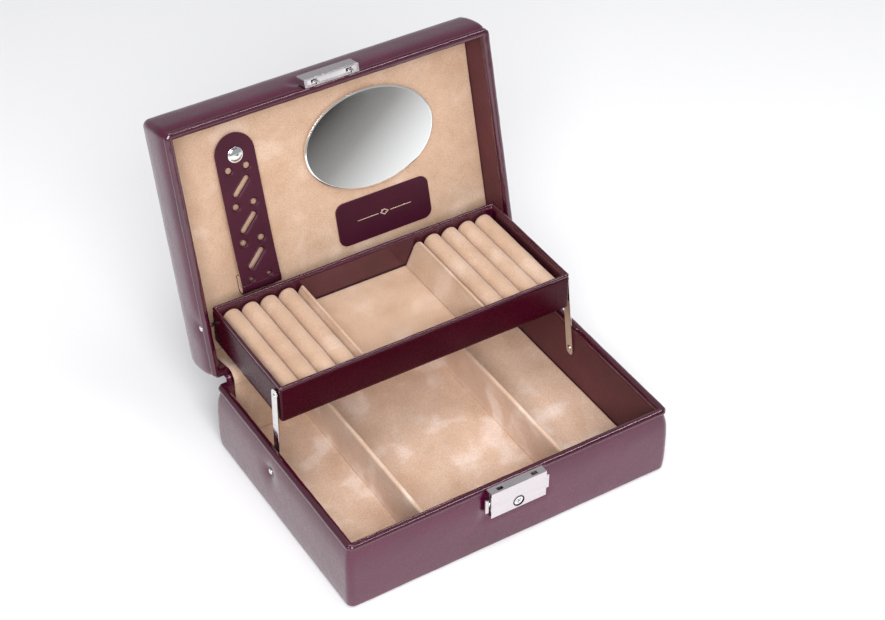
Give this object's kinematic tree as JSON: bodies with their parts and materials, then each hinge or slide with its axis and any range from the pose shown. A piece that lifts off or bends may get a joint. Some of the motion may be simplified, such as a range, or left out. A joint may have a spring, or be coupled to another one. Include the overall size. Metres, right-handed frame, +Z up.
{
  "type": "jewellery case",
  "caption": "Leather jewellery case with a hinged padded lid, a tray that rises on side arms as the lid opens, ring rolls, an oval mirror, an earring strap and a press-to-open lock.",
  "frame": {"origin": "middle of the underside that the case stands on", "axes": "+X right as seen from the lock, +Y towards the hinge at the back, +Z up; modelled with the lid open"},
  "size_m": [0.26, 0.2839, 0.251],
  "materials": {
    "leather": "smooth semi-gloss burgundy leather with a fine grain",
    "inner_leather": "satin brown-burgundy leather",
    "velour": "beige velour with a soft, uneven nap",
    "board": "plain fibreboard",
    "foam": "soft padding foam",
    "nickel": "satin nickel plate",
    "steel": "polished nickel plate",
    "mirror": "silvered glass with a narrow ground bevel"
  },
  "bodies": {
    "base": {"bottom_cover": "leather", "base_boards": "board", "base_cover": "leather", "base_wall_lining": "inner_leather", "base_rim": "leather", "base_floor_pad": "velour", "base_divider_left": "velour", "base_divider_right": "velour", "base_rivet_left": "steel", "base_rivet_right": "steel", "lock_case": "nickel", "lock_back_plate": "steel", "lock_screw_left": "steel", "lock_screw_right": "steel", "latch_spring": "steel", "spine_lower": "leather", "hinge_lining_lower": "velour"},
    "lid": {"lid_boards": "board", "lid_cover": "leather", "lid_wall_lining": "inner_leather", "lid_rim": "leather", "lid_top_leather": "leather", "lid_top_foam": "foam", "lid_panel": "velour", "mirror_backing": "board", "mirror_glass": "mirror", "label_patch": "leather", "snap_stud": "steel", "strap_fold": "leather", "catch_block": "nickel", "catch_hook_left": "steel", "catch_hook_right": "steel", "lid_rivet_left": "steel", "lid_rivet_right": "steel", "spine_upper": "leather", "hinge_lining_upper": "velour"},
    "tray": {"tray_boards": "board", "tray_cover": "leather", "tray_rim": "leather", "tray_bottom_cover": "leather", "tray_floor_pad": "velour", "tray_divider_left": "velour", "tray_divider_right": "velour", "ring_roll_left_1": "velour", "ring_roll_left_2": "velour", "ring_roll_left_3": "velour", "ring_roll_left_4": "velour", "ring_roll_right_1": "velour", "ring_roll_right_2": "velour", "ring_roll_right_3": "velour", "ring_roll_right_4": "velour"},
    "left_arm": {"arm_left": "nickel", "arm_rivet_left": "steel"},
    "right_arm": {"arm_right": "nickel", "arm_rivet_right": "steel"},
    "left_release": {"release_button_left": "nickel"},
    "right_release": {"release_button_right": "nickel"},
    "key_plug": {"key_cylinder": "steel"},
    "strap": {"earring_strap": "leather", "snap_cap": "steel"}
  },
  "joints": [
    {"name": "lid_hinge", "type": "hinge", "parent": "base", "child": "lid", "pos_m": [0, 0.0971, 0.0583], "axis": [1, 0, 0], "range_deg": [0, 104.57]},
    {"name": "tray_pivot", "type": "hinge", "parent": "lid", "child": "tray", "pos_m": [0, 0.115, 0.0954], "axis": [1, 0, 0], "range_deg": [-104.57, 0]},
    {"name": "arm_left_pivot", "type": "hinge", "parent": "base", "child": "left_arm", "pos_m": [-0.1236, 0.01628, 0.0358], "axis": [1, 0, 0], "range_deg": [0, 62.4]},
    {"name": "arm_right_pivot", "type": "hinge", "parent": "base", "child": "right_arm", "pos_m": [0.1236, 0.01628, 0.0358], "axis": [1, 0, 0], "range_deg": [0, 62.4]},
    {"name": "release_left_press", "type": "slide", "parent": "base", "child": "left_release", "axis": [1, 0, 0], "range_m": [0, 0.002], "stiffness_N_per_m": 400, "deforming": ["latch_spring"]},
    {"name": "release_right_press", "type": "slide", "parent": "base", "child": "right_release", "axis": [-1, 0, 0], "range_m": [0, 0.002], "stiffness_N_per_m": 400, "deforming": ["latch_spring"]},
    {"name": "key_turn", "type": "hinge", "parent": "base", "child": "key_plug", "pos_m": [0, -0.1, 0.0402], "axis": [0, 1, 0], "range_deg": [0, 90]},
    {"name": "strap_flap", "type": "hinge", "parent": "lid", "child": "strap", "pos_m": [-0.073, 0.13075, 0.10628], "axis": [-1, 0, 0], "range_deg": [-75, 0]}
  ],
  "couplings": [
    {"joint": "tray_pivot", "follows": "lid_hinge", "ratio": -1},
    {"joint": "arm_left_pivot", "follows": "lid_hinge", "ratio": 0.59668},
    {"joint": "arm_right_pivot", "follows": "lid_hinge", "ratio": 0.59668}
  ]
}
